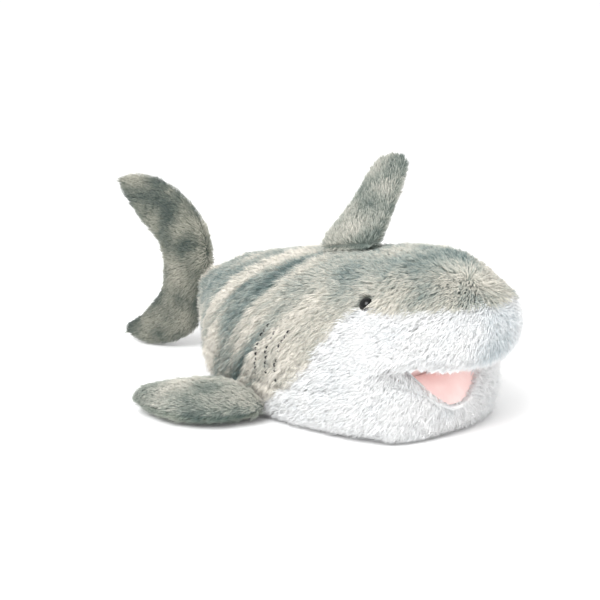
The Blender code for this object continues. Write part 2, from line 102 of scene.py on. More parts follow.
def smooth(table, x):
    """The table's columns at x, on a smooth curve through its rows."""
    rows = np.array(table, float)
    xs, ys = rows[:, 0], rows[:, 1:]
    slopes = np.gradient(ys, xs, axis=0)
    x = np.clip(np.asarray(x, float), xs[0], xs[-1])
    i = np.clip(np.searchsorted(xs, x, side="right") - 1, 0, len(xs) - 2)
    h = (xs[i + 1] - xs[i])[..., None]
    t = (x - xs[i])[..., None] / h
    value = (2 * t**3 - 3 * t**2 + 1) * ys[i] + (3 * t**2 - 2 * t**3) * ys[i + 1]
    value = value + (t**3 - 2 * t**2 + t) * h * slopes[i] + (t**3 - t**2) * h * slopes[i + 1]
    return value[..., 0] if value.shape[-1] == 1 else value


def step(low, high, x):
    t = np.clip((np.asarray(x, float) - low) / (high - low), 0, 1)
    return t * t * (3 - 2 * t)


def oval(angle, half_x, up, down, power_up, power_down):
    c, s = np.cos(angle), np.sin(angle)
    power = np.where(s >= 0, power_up, power_down)
    x = half_x * np.sign(c) * np.abs(c) ** (2 / power)
    z = np.where(s >= 0, up, -down) * np.abs(s) ** (2 / power)
    return x, z


def placed(x, y, z):
    return np.stack(np.broadcast_arrays(x, y + SHIFT_Y, z), -1) * MM


def capped(v, front, depth):
    """Section place and shrink for v: a rounded front from 0 to 1, then straight on, in millimetres."""
    turn = np.clip(v, 0, 1) * math.pi / 2
    return front + depth * (1 - np.cos(turn)) + np.maximum(v - 1, 0), np.sin(turn)


# Surfaces: a point for v along the piece, an angle round it and an inset


def torso(v, angle, inset):
    widest = smooth(WIDEST, v)
    half = smooth(HALF_WIDTH, v) - inset
    up = smooth(TOP, v) - widest - inset
    down = widest - smooth(BOTTOM, v) - inset
    x, z = oval(angle, half, up, down, 2.3, smooth(FLATNESS, v))
    return placed(x, v, np.maximum(widest + z, inset * 0.6 + 0.4))


def muzzle(v, angle, inset):
    depth = MUZZLE_ROUND - inset
    y, shrink = capped(v, NOSE_Y + inset, depth)
    widest = smooth(MUZZLE_WIDEST, y)
    blunt = shrink**0.6
    half = (smooth(HALF_WIDTH, y) - inset) * shrink**0.85
    up = (smooth(TOP, y) - inset - NOSE_Z) * blunt + NOSE_Z - widest
    down = widest - NOSE_Z + (NOSE_Z - smooth(LIP, y) - inset) * blunt
    flat = np.clip((y + 165.0) / 40.0, 0, 1)
    x, z = oval(angle, half, up, np.maximum(down, 0.1), 2.3, 2.6 + 3 * flat)
    return placed(x, y, widest + z)


def jaw(v, angle, inset):
    y, shrink = capped(v, JAW_FRONT_Y + inset, JAW_ROUND - inset)
    half = (smooth(JAW_HALF_WIDTH, y) - inset) * shrink
    top = JAW_MIDDLE_Z + (smooth(JAW_TOP, y) - inset - JAW_MIDDLE_Z) * shrink
    down = (JAW_MIDDLE_Z + 1.5 - inset) * shrink
    x, z = oval(angle, half, top - JAW_MIDDLE_Z, down, 4.0, 3.6)
    out, rise = np.abs(x) / np.maximum(half, 1e-6), np.maximum(z, 0) / np.maximum(top - JAW_MIDDLE_Z, 1e-6)
    rim = smooth(JAW_RIM, y) * out**3 * rise
    return placed(x, y, np.maximum(JAW_MIDDLE_Z + z + rim, inset * 0.6 + 0.4))


def throat(v, angle, inset):
    """Between the jaw and the belly, below the corners of the mouth."""
    share = step(-132, -118, v)[..., None]
    front = jaw(v - JAW_FRONT_Y - JAW_ROUND + 1, angle, inset)
    return front * (1 - share) + torso(v, angle, inset) * share


def turn_about(points, degrees):
    """Turned about the tail's upright axis."""
    a = np.radians(degrees)
    x, y = points[..., 0], points[..., 1] - (TAIL_Y + SHIFT_Y) * MM
    c, s = np.cos(a), np.sin(a)
    return np.stack((c * x - s * y, s * x + c * y + (TAIL_Y + SHIFT_Y) * MM, points[..., 2]), -1)


def rear(v, angle, inset):
    """The narrow end of the body, bent smoothly round to the tail."""
    return turn_about(torso(v, angle, inset), TAIL_BEND * step(92, 128, v))


def fin_surface(table, place, puff=0.0):
    count = len(table)
    rows = [(i / (count - 1), *row) for i, row in enumerate(table)]
    matrix = np.array(place)

    def surface(v, angle, inset):
        row = smooth(rows, v)
        if row.shape[-1] == 4:
            front, back, half = row[..., [0, 1]], row[..., [0, 2]], row[..., 3]
        else:
            front, back, half = row[..., 0:2], row[..., 2:4], row[..., 4]
        reach = back - front
        chord = np.linalg.norm(reach, axis=-1)
        width = np.maximum(chord / 2 - inset, 0.6)
        thick = np.maximum(half - inset, 0.4)
        x, z = oval(angle, width, thick, thick, 2.1, 2.1)
        z = np.where(z > 0, z * (1 + puff * np.sin(math.pi * np.clip(v, 0, 1)) ** 0.6), z)
        flat = reach / chord[..., None] * x[..., None] + (front + back) / 2
        local = np.concatenate((flat, z[..., None]), -1) * MM
        return local @ matrix[:3, :3].T + matrix[:3, 3]

    return surface


def axes(x, y, z, origin):
    made = Matrix((x, y, z)).transposed().to_4x4()
    made.translation = (Vector(origin) + Vector((0, SHIFT_Y, 0))) * MM
    return made


def dorsal_place():
    lean = math.radians(DORSAL_LEAN)
    slope = math.atan2(float(smooth(TOP, -60) - smooth(TOP, -6)), 54)
    up = Vector((math.sin(lean), 0, math.cos(lean)))
    back = Vector((0, math.cos(slope), -math.sin(slope)))
    across = up.cross(back).normalized()
    up = back.cross(across).normalized()
    middle = (DORSAL[3][1] + DORSAL[3][2]) / 2
    hinge = Vector((0, middle, float(smooth(TOP, middle)) + DORSAL_HINGE + 1.2))
    return axes(up, back, across, hinge - up * DORSAL_HINGE - back * middle)


def pectoral_place(out):
    return axes((out, 0, 0), (0, 1, 0), (0, 0, 1), (out * (ROOT_X - FIN_HINGE), 0, ROOT_Z))


def tail_place():
    a = math.radians(TAIL_BEND)
    return axes((-math.sin(a), math.cos(a), 0), (0, 0, 1), (math.cos(a), math.sin(a), 0), (0, TAIL_Y, 0))


# Materials


def linear(color):
    c = np.array(color, float) / 255
    return tuple(np.where(c <= 0.04045, c / 12.92, ((c + 0.055) / 1.055) ** 2.4))


def principled(name, color, roughness, **values):
    made = bpy.data.materials.new(name)
    made.use_nodes = True
    shader = made.node_tree.nodes["Principled BSDF"]
    shader.inputs["Base Color"].default_value = (*linear(color), 1)
    shader.inputs["Roughness"].default_value = roughness
    for key, value in values.items():
        shader.inputs[key.replace("_", " ")].default_value = value
    made.diffuse_color = (*linear(color), 1)
    return made


def tones(name, stops, count=8):
    """Shades of one yarn from the dark roots to the pale tips; the darker root shades are partly the yarn's
    dye, partly painted shade deep in the pile.
    """
    places = np.linspace(0, 1, len(stops))
    made = []
    for i in range(count):
        color = [np.interp(i / (count - 1), places, [s[k] for s in stops]) for k in range(3)]
        made.append(principled(f"{name}_{i + 1}", color, 0.8, Sheen_Weight=0.15, Sheen_Roughness=0.5))
    return made


def mottled(name, dark, light, scale, roughness=0.9, bump=0.4, fine=900, **values):
    """Cloth in two shades with a fine pile in its bump."""
    made = principled(name, light, roughness, **values)
    nodes, links = made.node_tree.nodes, made.node_tree.links
    shader = nodes["Principled BSDF"]
    place = nodes.new("ShaderNodeTexCoord")
    cloud = nodes.new("ShaderNodeTexNoise")
    cloud.inputs["Scale"].default_value = scale
    cloud.inputs["Detail"].default_value = 6
    ramp = nodes.new("ShaderNodeValToRGB")
    ramp.color_ramp.elements[0].position = 0.35
    ramp.color_ramp.elements[0].color = (*linear(dark), 1)
    ramp.color_ramp.elements[1].position = 0.65
    ramp.color_ramp.elements[1].color = (*linear(light), 1)
    pile = nodes.new("ShaderNodeTexNoise")
    pile.inputs["Scale"].default_value = fine
    pile.inputs["Detail"].default_value = 3
    relief = nodes.new("ShaderNodeBump")
    relief.inputs["Strength"].default_value = bump
    relief.inputs["Distance"].default_value = 0.0006
    links.new(place.outputs["Object"], cloud.inputs["Vector"])
    links.new(place.outputs["Object"], pile.inputs["Vector"])
    links.new(cloud.outputs["Fac"], ramp.inputs["Fac"])
    links.new(ramp.outputs["Color"], shader.inputs["Base Color"])
    links.new(pile.outputs["Fac"], relief.inputs["Height"])
    links.new(relief.outputs["Normal"], shader.inputs["Normal"])
    return made


GREY_YARN = tones("grey_yarn", (
    (96, 116, 114), (146, 160, 156), (190, 193, 184), (222, 218, 206), (244, 239, 228)))
TAIL_YARN = tones("tail_yarn", (
    (70, 84, 78), (104, 113, 103), (140, 143, 130), (166, 166, 152), (190, 188, 174)))
FIN_YARN = tones("fin_yarn", (
    (92, 106, 100), (134, 144, 135), (176, 179, 169), (204, 202, 191), (226, 223, 212)))
UNDER_YARN = tones("underside_yarn", (
    (78, 96, 92), (112, 126, 116), (146, 154, 142), (170, 174, 162), (196, 197, 186)))
# the darkest, bluish stops serve as painted shade on the muzzle's front and, in part, at the roots
WHITE_YARN = tones("white_yarn", (
    (204, 214, 218), (230, 235, 237), (246, 248, 249), (252, 253, 253), (254, 254, 254)))
# the backings are darker than the pile: partly the knit's own colour, partly painted shade between the
# strands
grey_backing = mottled("grey_backing", (96, 110, 104), (150, 156, 148), 45, Sheen_Weight=0.2)
tail_backing = mottled("tail_backing", (66, 78, 72), (112, 118, 106), 45, Sheen_Weight=0.2)
white_backing = mottled("white_backing", (220, 227, 230), (240, 243, 244), 30, Sheen_Weight=0.2)
pink_velour = mottled("pink_velour", (240, 204, 200), (250, 226, 222), 40, 0.75, 0.5, 1500, Sheen_Weight=0.5)
white_felt = mottled("white_felt", (232, 234, 236), (252, 252, 250), 120, 0.9, 0.6, 1400, Sheen_Weight=0.2)
fibre = mottled("fibre_filling", (214, 214, 208), (242, 242, 238), 60, 0.95, 0.8, 500)
thread = mottled("black_thread", (10, 12, 12), (28, 30, 30), 300, 0.55, 0.4, 2500)
eye_black = principled("black_eye", (3, 4, 5), 0.06, Specular_IOR_Level=0.3)
washer_white = mottled("washer_plastic", (222, 224, 226), (238, 240, 240), 200, 0.45, 0.1)


# Building blocks


def mesh_object(name, points, faces, materials, smooth_shade=True):
    mesh = bpy.data.meshes.new(name)
    mesh.from_pydata([tuple(p) for p in points], [], [tuple(f) for f in faces])
    for item in materials:
        mesh.materials.append(item)
    if smooth_shade:
        mesh.shade_smooth()
    made = bpy.data.objects.new(name, mesh)
    bpy.context.scene.collection.objects.link(made)
    return made


def settle(obj, body, blend=None):
    """Joins a piece to its body; a piece that spans a joint is left loose, with its placement baked in."""
    if blend:
        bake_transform(obj)
    else:
        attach(obj, body)
    return obj


def shell(name, surface, vs, angles, depth, thickness, material, body, blend=None):
    """A closed sheet of cloth over part of a surface."""
    v, a = np.meshgrid(vs, angles, indexing="ij")
    rows, columns = v.shape
    ring = abs(abs(angles[-1] - angles[0]) - 2 * math.pi) < 1e-6
    sides = (surface(v, a, depth), surface(v, a, depth + thickness))
    points = np.concatenate([side.reshape(-1, 3) for side in sides])
    index = np.arange(2 * rows * columns).reshape(2, rows, columns)
    if ring:
        index[:, :, -1] = index[:, :, 0]
    faces = []
    for side in (0, 1):
        for i in range(rows - 1):
            for j in range(columns - 1):
                face = index[side]
                quad = (face[i, j], face[i + 1, j], face[i + 1, j + 1], face[i, j + 1])
                faces.append(quad if side else quad[::-1])
    for i, flip in ((0, False), (rows - 1, True)):
        for j in range(columns - 1):
            quad = (index[0, i, j], index[0, i, j + 1], index[1, i, j + 1], index[1, i, j])
            faces.append(quad[::-1] if flip else quad)
    if not ring:
        for j, flip in ((0, True), (columns - 1, False)):
            for i in range(rows - 1):
                quad = (index[0, i, j], index[0, i + 1, j], index[1, i + 1, j], index[1, i, j])
                faces.append(quad[::-1] if flip else quad)
    used = np.unique(np.array(faces))
    place = np.zeros(len(points), int)
    place[used] = np.arange(len(used))
    obj = mesh_object(name, points[used], place[np.array(faces)], [material])
    return settle(obj, body, blend)


def value_noise(point, scale, seed=0.0):
    """Smooth noise from 0 to 1."""
    return 0.5 + 0.5 * noise.noise(Vector(point) * scale + Vector((seed, seed * 0.7, -seed)))


def unit(vectors):
    return vectors / np.maximum(np.linalg.norm(vectors, axis=-1, keepdims=True), 1e-12)


def tangents(surface, v, a, inset, dv, da):
    along = surface(v + dv, a, inset) - surface(v - dv, a, inset)
    across = surface(v, a + da, inset) - surface(v, a - da, inset)
    out = surface(v, a, 0.0) - surface(v, a, 3.0)
    normal = unit(np.cross(along, across))
    normal = normal * np.where((normal * out).sum(-1, keepdims=True) < 0, -1, 1)
    return unit(along), unit(across), normal


def scatter(surface, vs, angles, inset, density):
    """Roots spread evenly over the surface, per square millimetre."""
    columns = 180
    knots = np.linspace(*vs, 141)
    if vs[0] < 1 < vs[1] and vs[1] > 3:
        knots = np.concatenate((np.linspace(vs[0], 1, 40), np.linspace(1, vs[1], 110)[1:]))
    v, a = np.meshgrid(knots, np.linspace(*angles, columns + 1), indexing="ij")
    p = surface(v, a, inset) / MM
    area = np.linalg.norm(np.cross(p[1:, 1:] - p[:-1, :-1], p[:-1, 1:] - p[1:, :-1]), axis=-1).reshape(-1) / 2
    total = np.cumsum(area)
    count = int(total[-1] * density * DENSITY)
    picks = (np.arange(count) + rng.random(count)) / count * total[-1]
    cell = np.minimum(np.searchsorted(total, picks), len(area) - 1)
    i, j = cell // columns, cell % columns
    dv, da = (knots[1:] - knots[:-1])[i], (angles[1] - angles[0]) / columns
    return knots[i] + rng.random(count) * dv, angles[0] + (j + rng.random(count)) * da, dv, da


MOST_STRANDS = 19500


def strands(name, base, middle, tip, up, width, dyed_and_shaded_root_tone, high_tone, yarn, body, blend=None):
    """Closed tapered fibres, three-sided, in pieces of limited size."""
    made = []
    pieces = max(1, math.ceil(len(base) / MOST_STRANDS))
    order = np.arange(len(base)) % pieces
    for k in range(pieces):
        use = order == k
        b, m, t, n, w = base[use], middle[use], tip[use], up[use], width[use][:, None]
        side = unit(np.cross(m - b, n))
        points = np.stack((b - side * w * 0.45, b + n * w * 0.3, b + side * w * 0.45,
                           m - side * w * 0.5, m + n * w * 0.35, m + side * w * 0.5, t), 1)
        count = len(b)
        first = np.arange(count)[:, None] * 7
        quads = first[:, :, None] + np.array(((0, 3, 4, 1), (1, 4, 5, 2), (2, 5, 3, 0)))[None]
        ends = first[:, :, None] + np.array(((3, 6, 4), (4, 6, 5), (5, 6, 3), (0, 1, 2)))[None]
        loops = np.concatenate((quads.reshape(count, -1), ends.reshape(count, -1)), 1).reshape(-1)
        sizes = np.tile((4, 4, 4, 3, 3, 3, 3), count)
        starts = np.concatenate(((0,), np.cumsum(sizes)[:-1]))
        low, high = dyed_and_shaded_root_tone[use][:, None], high_tone[use][:, None]
        # the root end and its cap take the darker root tone, partly painted shade deep in the pile
        shade = np.concatenate((low.repeat(3, 1), high.repeat(3, 1), low), 1).reshape(-1)
        mesh = bpy.data.meshes.new(name)
        mesh.vertices.add(count * 7)
        mesh.loops.add(len(loops))
        mesh.polygons.add(len(sizes))
        mesh.vertices.foreach_set("co", points.astype(np.float32).reshape(-1))
        mesh.loops.foreach_set("vertex_index", loops.astype(np.int32))
        mesh.polygons.foreach_set("loop_start", starts.astype(np.int32))
        mesh.polygons.foreach_set("material_index", shade.astype(np.int32))
        mesh.polygons.foreach_set("use_smooth", np.ones(len(sizes), bool))
        for item in yarn:
            mesh.materials.append(item)
        mesh.update(calc_edges=True)
        obj = bpy.data.objects.new(f"{name}_{k + 1}", mesh)
        bpy.context.scene.collection.objects.link(obj)
        made.append(settle(obj, body, blend))
    return made


def fur(name, surface, vs, angles, yarn, body, tone, comb, keep=None, density=1.0, length=10.0,
        width=0.42, lift=(48, 12), fluff=0.2, clump=0.3, depth=PLUSH, blend=None, per_clump=12, sag=0.12):
    """A patch of pile. tone gives 0 dark to 1 pale at a tuft, comb the way the pile lies."""
    v, a, dv, da = scatter(surface, vs, angles, depth, density)
    root = surface(v, a, depth)
    if keep is not None:
        use = keep(root / MM - np.array((0, SHIFT_Y, 0)), a)
        v, a, root, dv = v[use], a[use], root[use], dv[use]
    along, across, normal = tangents(surface, v, a, depth, dv * 0.5, da * 0.5)
    count = len(root)
    where = root / MM - np.array((0, SHIFT_Y, 0))
    way = comb(where, normal, along, across, v, a)
    way = way - normal * (way * normal).sum(-1, keepdims=True)
    way = unit(unit(way) + rng.normal(0, fluff, (count, 3)))
    way = unit(way - normal * (way * normal).sum(-1, keepdims=True))
    # tufts
    centres = rng.choice(count, max(4, count // per_clump), replace=False)
    tree = kdtree.KDTree(len(centres))
    for i, c in enumerate(centres):
        tree.insert(root[c], i)
    tree.balance()
    tuft = np.array([tree.find(p)[1] for p in root])
    shade = np.clip(tone(where[centres], v[centres], a[centres]), 0, 1)
    wild = rng.normal(0, 1, len(centres))
    size = length(where, v, a) if callable(length) else np.full(count, float(length))
    size = size * (0.8 + 0.45 * rng.random(count)) * (1 + 0.08 * wild[tuft])
    height = 0.72 + 0.5 * shade[tuft]
    low = np.radians(lift[0] * height + rng.normal(0, 7, count) + 4 * wild[tuft])[:, None]
    high = np.radians(lift[1] * height + rng.normal(0, 8, count) + 5 * wild[tuft])[:, None]
    half = (size * 0.5 * MM)[:, None]
    base = root - normal * 0.6 * MM
    middle = root + (way * np.cos(low) + normal * np.sin(low)) * half
    lean = rng.normal(0, fluff * 0.8, (count, 3))
    onward = unit(way * np.cos(high) + normal * np.sin(high) + lean)
    onward[:, 2] -= sag
    tip = middle + unit(onward) * half
    tip = tip + (tip[centres][tuft] - tip) * clump * (0.5 + 0.7 * rng.random(count))[:, None]
    middle = middle + (middle[centres][tuft] - middle) * clump * 0.3
    floor = (0.25 + 1.2 * rng.random(count)) * MM
    middle[:, 2] = np.maximum(middle[:, 2], floor)
    tip[:, 2] = np.maximum(tip[:, 2], floor)
    base[:, 2] = np.maximum(base[:, 2], 0.3 * MM)
    last = len(yarn) - 1
    level = shade[tuft] * last + rng.normal(0, 0.65, count)
    high_tone = np.clip(np.round(level), 0, last).astype(int)
    # the root end is a step darker than the tip: partly the yarn's dye, partly painted shade deep in the pile
    dyed_and_shaded_root_tone = np.clip(np.round(level - 1.0), 0, last).astype(int)
    thick = width * (0.75 + 0.5 * rng.random(count)) * MM
    return strands(name, base, middle, tip, normal, thick, dyed_and_shaded_root_tone, high_tone, yarn, body, blend)


# Where the pile is dark or pale, and which way it lies


def bands(p, v, a):
    """Brushed streaks that climb the flank and turn forward along the back."""
    out = np.empty(len(p))
    for i, (x, y, z) in enumerate(p):
        climb = y + 0.55 * z + 0.0022 * z * z
        streak = noise.noise(Vector((climb / 11.0, z / 60.0, x / 60.0 + 1.0)))
        cloud = noise.noise(Vector((x / 26.0, y / 26.0 + 9, z / 26.0)))
        grain = noise.noise(Vector((x / 6.0, y / 6.0, z / 6.0)))
        behind = min(max((y + 62) / 50.0, 0.0), 1.0)
        middle = 0.64 - 0.08 * behind + 0.30 * max(0.0, 1 - abs(z - 55) / 45.0) * (1 - 0.5 * behind)
        out[i] = middle + (0.95 * behind + 0.12) * streak + 0.28 * cloud + 0.10 * grain
        if z > 100:
            out[i] -= 0.16 * min((z - 100) / 14.0, 1.0) * (1 if y > -90 else 0.6)
    return out


def head_tone(p, v, a):
    out = np.empty(len(p))
    for i, (x, y, z) in enumerate(p):
        cloud = noise.noise(Vector((x / 20.0, y / 24.0, z / 14.0 + 5)))
        grain = noise.noise(Vector((x / 5.0, y / 5.0, z / 5.0)))
        top = min(max((z - 112) / 12.0, 0.0), 1.0)
        brow = min(max((-150 - y) / 35.0, 0.0), 1.0)
        out[i] = 0.64 - 0.20 * top - 0.10 * brow + 0.42 * cloud + 0.12 * grain
    return out


def white_tone(p, v, a):
    out = np.empty(len(p))
    for i, (x, y, z) in enumerate(p):
        cloud = noise.noise(Vector((x / 16.0, y / 16.0, z / 16.0)))
        grain = noise.noise(Vector((x / 5.0, y / 5.0, z / 5.0)))
        # painted shade: the yarn turns darker and bluish over the front right of the muzzle, which faces away
        # from the lamps
        front = min(max((-168 - y) / 16.0, 0.0), 1.0) * min(max((x + 26) / 20.0, 0.0), 1.0)
        out[i] = 0.76 + 0.28 * cloud + 0.08 * grain - 0.62 * front
    return out


def fin_tone(scale, middle, contrast, seam=0.35):
    def tone(p, v, a):
        out = np.empty(len(p))
        for i, (x, y, z) in enumerate(p):
            cloud = noise.noise(Vector((x / scale + 3, y / scale, z / scale)))
            grain = noise.noise(Vector((x / 5.0, y / 5.0, z / 5.0)))
            edge = min(abs(math.sin(a[i])), 1.0)
            # painted shade: seam sets how much the tone darkens along the fin's edge seam, where a groove
            # would lie in shade
            out[i] = middle + contrast * cloud + 0.12 * grain - seam * max(0.0, 1 - edge / 0.22)
        return out
    return tone


def comb_body(p, n, along, across, v, a):
    way = np.zeros_like(n)
    way[:, 1] = 0.55
    way[:, 2] = -0.75 * step(20, 70, np.abs(p[:, 0]))
    way[:, 1] += 0.5 * step(60, 20, np.abs(p[:, 0]))
    return way


def comb_head(p, n, along, across, v, a):
    way = np.zeros_like(n)
    way[:, 1] = 0.45 + 0.4 * step(112, 124, p[:, 2])
    way[:, 2] = -0.9
    way[:, 0] = 0.15 * np.tanh(p[:, 0] / 20)
    return way


def comb_white(p, n, along, across, v, a):
    way = np.zeros_like(n)
    way[:, 1] = 0.35 + 0.5 * step(-150, -110, p[:, 1])
    way[:, 2] = -0.5
    way[:, 0] = 0.5 * np.tanh(p[:, 0] / 20)
    return way


# The trunk


def seam_height(y):
    return smooth(SEAM, y)


def above_seam(p, ragged=2.0):
    wave = np.array([noise.noise(Vector((q[0] / 9, q[1] / 9, q[2] / 9))) for q in p])
    return p[:, 2] - seam_height(p[:, 1]) + ragged * wave


def near_eye(p, reach):
    return np.hypot(p[:, 1] - EYE_AT[0], p[:, 2] - EYE_AT[1]) < reach


FULL = (-math.pi / 2, 1.5 * math.pi)


def root_areas(p):
    """True where the root of the dorsal fin covers the body."""
    spine = (np.abs(p[:, 0]) < 5) & (p[:, 1] > -60) & (p[:, 1] < -20) & (p[:, 2] > 100)
    return spine


def keep_grey(p, a):
    return (above_seam(p) > 0) & ~near_eye(p, 4.6) & ~root_areas(p)


def keep_white(p, a):
    return (above_seam(p) <= 0) & ((p[:, 2] > 3.6) | (rng.random(len(p)) < 0.25))


def keep_white_head(p, a):
    """White muzzle: open towards the palate except round the front."""
    roof = (np.sin(a) < math.sin(math.radians(-64))) & (p[:, 1] > NOSE_Y + 19)
    return (above_seam(p, 3.0) <= 0) & ~roof


def keep_jaw(p, a):
    roof = (np.sin(a) > math.sin(math.radians(44))) & (p[:, 1] > JAW_FRONT_Y + PLUSH + 1.5)
    return ~roof & ((p[:, 2] > 3.4) | (rng.random(len(p)) < 0.25))


HEAD_END = 1 + SPLIT_Y - NOSE_Y - MUZZLE_ROUND


def angle_at(surface, v, z, inset):
    """The angle on the left side at which each section passes through the height z, in millimetres."""
    low = np.full(np.shape(v), -math.pi / 2)
    high = np.full(np.shape(v), math.pi / 2)
    for _ in range(30):
        middle = (low + high) / 2
        below = surface(v, middle, inset)[..., 2] < z * MM
        low, high = np.where(below, middle, low), np.where(below, high, middle)
    return low


def banded(surface, section):
    """The surface with its angle counted from seam to seam, over the top (0 to 1) or below (1 to 2)."""
    def made(v, s, inset):
        edge = section(v)
        over = edge + (math.pi - 2 * edge) * s
        under = math.pi - edge + (math.pi + 2 * edge) * (s - 1)
        return surface(v, np.where(s <= 1, over, under), inset)
    return made


def seam_section(surface, y_of):
    def section(v):
        flat = np.unique(np.round(np.ravel(v), 4))
        edges = angle_at(surface, flat, seam_height(y_of(flat)), PLUSH)
        return np.interp(v, flat, edges)
    return section


def head_y(v):
    return capped(v, NOSE_Y + PLUSH, MUZZLE_ROUND - PLUSH)[0]


def same(v):
    return v


trunk_banded = banded(torso, seam_section(torso, same))
head_banded = banded(muzzle, seam_section(muzzle, head_y))
rear_banded = banded(rear, seam_section(torso, same))

over, under = np.linspace(0, 1, 49), np.linspace(1, 2, 57)
trunk_vs = np.linspace(-119, 88, 60)
rear_vs = np.linspace(86, 133, 20)
head_vs = np.concatenate((np.linspace(0.06, 1, 12), np.linspace(1, HEAD_END + 2, 20)[1:]))
TO_TAIL = ("body", "tail", (0, 0.090, 0.05), (0, 0.118, 0.05))
back_skin = shell("back_backing", trunk_banded, trunk_vs, over, PLUSH, 1.0, grey_backing,
                  "body")
belly_skin = shell("belly_backing", trunk_banded, trunk_vs, under, PLUSH, 1.0, white_backing,
                   "body")
head_skin = shell("head_backing", head_banded, head_vs, over, PLUSH, 1.0, grey_backing,
                  "body")
rear_skin = shell("tail_stock_backing", rear_banded, rear_vs, over, PLUSH, 1.0, grey_backing,
                  None, TO_TAIL)
shell("tail_stock_underside_backing", rear_banded, rear_vs, under, PLUSH, 1.0, white_backing,
      None, TO_TAIL)


for sign, side in ((1, "left"), (-1, "right")):
    def cheek(v, s, inset, sign=sign):
        edge = np.interp(v, head_vs, angle_at(muzzle, head_vs, seam_height(head_y(head_vs)), PLUSH))
        low = math.radians(-62)
        angle = low + (edge - low) * s
        p = muzzle(v, angle, inset)
        return p * np.array((sign, 1, 1))
    skin = shell(f"muzzle_backing_{side}", cheek, head_vs, np.linspace(0, 1, 24), PLUSH, 1.0, white_backing,
                 "body")
    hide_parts(f"muzzle_panel_{side}")
front_vs = np.linspace(0.06, 0.86, 10)
front_angles = np.linspace(math.pi + 0.4, 2 * math.pi - 0.4, 30)
front_skin = shell("muzzle_front_backing", muzzle, front_vs, front_angles, PLUSH, 1.0, white_backing,
                   "body")
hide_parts("muzzle_front_panel")
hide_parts("back_panel_left", "back_panel_right")
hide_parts("belly_panel")
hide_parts("tail_stock_panel_left", "tail_stock_panel_right")

JAW_END = 1 + JAW_FRONT_Y * -1 - JAW_ROUND - 129
lower = np.linspace(math.pi - math.radians(34), 2 * math.pi + math.radians(34), 50)
jaw_vs = np.linspace(1, JAW_END, 6)
jaw_skin = shell("chin_backing", jaw, jaw_vs, lower, PLUSH, 1.0, white_backing, "jaw")
jaw_front = shell("chin_front_backing", jaw, np.linspace(0.06, 1, 10), np.linspace(0, 2 * math.pi, 50),
                  PLUSH, 1.0, white_backing, "jaw")
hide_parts("chin_panel")
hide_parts("chin_front_panel")
TO_JAW = ("body", "jaw", (0, -0.1215, 0.03), (0, -0.1395, 0.03))
throat_angles = np.linspace(math.pi - math.radians(38), 2 * math.pi + math.radians(38), 50)
shell("throat_backing", throat, np.linspace(-133, -117, 10), throat_angles, PLUSH, 1.0, white_backing,
      None, TO_JAW)


def trunk_length(p, v, a):
    return 11.0 - 2.0 * step(98, 118, p[:, 2]) - 1.5 * step(50, 90, p[:, 1])


fur("back_fur", torso, (-117.5, 88), FULL, GREY_YARN, "body", bands, comb_body, keep_grey,
    length=trunk_length, density=1.05, clump=0.25)
fur("belly_fur", torso, (-119, 88), FULL, WHITE_YARN, "body", white_tone, comb_white,
    keep_white, length=11.0, fluff=0.3, lift=(44, 14), clump=0.16, density=1.1)
fur("head_fur", muzzle, (0.0, HEAD_END), FULL, GREY_YARN, "body", head_tone, comb_head,
    keep_grey, length=lambda p, v, a: 8.5 + 2.5 * step(112, 100, p[:, 2]), density=1.1)
fur("muzzle_fur", muzzle, (0.0, HEAD_END), FULL, WHITE_YARN, "body", white_tone, comb_white,
    keep_white_head, length=9.0, fluff=0.3, lift=(46, 14), clump=0.15, density=1.35)
fur("chin_fur", jaw, (0.0, JAW_END), FULL, WHITE_YARN, "jaw", white_tone,
    comb_white, keep_jaw, length=9.0, fluff=0.3, lift=(46, 14), clump=0.15, density=1.35)
fur("throat_fur", throat, (-133, -116), (math.pi - 0.66, 2 * math.pi + 0.66), WHITE_YARN, None,
    white_tone, comb_white, lambda p, a: p[:, 2] > 3.4, length=10.0, fluff=0.3, lift=(44, 14), clump=0.16,
    density=1.2, blend=TO_JAW)
fur("tail_stock_fur", rear, (86, 132), FULL, GREY_YARN, None, bands, comb_body,
    lambda p, a: above_seam(p) > 0, length=8.5, density=1.1, blend=TO_TAIL)
fur("tail_stock_underside_fur", rear, (86, 132), FULL, WHITE_YARN, None, white_tone,
    comb_white, lambda p, a: above_seam(p) <= 0, length=9.0, density=0.9, blend=TO_TAIL)

# Fins

ROUND = (0.0, 2 * math.pi)
fin_vs = np.concatenate((np.linspace(0.01, 0.1, 5), np.linspace(0.14, 0.9, 22), (0.94, 0.98)))
FIN_DEPTH = 3.4


def top_half(p, a):
    return np.sin(a) >= 0


def bottom_half(p, a):
    return np.sin(a) < 0


def half_shells(name, surface, names, material, body):
    made = []
    for label, start in zip(names, (0.0, math.pi)):
        skin = shell(f"{name}_backing_{label}", surface, fin_vs, np.linspace(start, start + math.pi, 25),
                     FIN_DEPTH, 0.8, material, body)
        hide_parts(f"{name}_{label}")
        made.append(skin)
    return made


def comb_pectoral(p, n, along, across, v, a):
    way = along * np.where(v < 0.06, -0.8, 0.8)[:, None]
    way[:, 1] += 0.8
    way[:, 2] -= 0.15
    return way


def comb_dorsal(p, n, along, across, v, a):
    way = along * np.where(v < 0.07, -1.0, 1.0)[:, None]
    way[:, 1] += 0.35
    return way


def comb_tail(p, n, along, across, v, a):
    way = along * np.tanh((v - 0.45) * 7)[:, None]
    way[:, 1] += 0.7
    return way


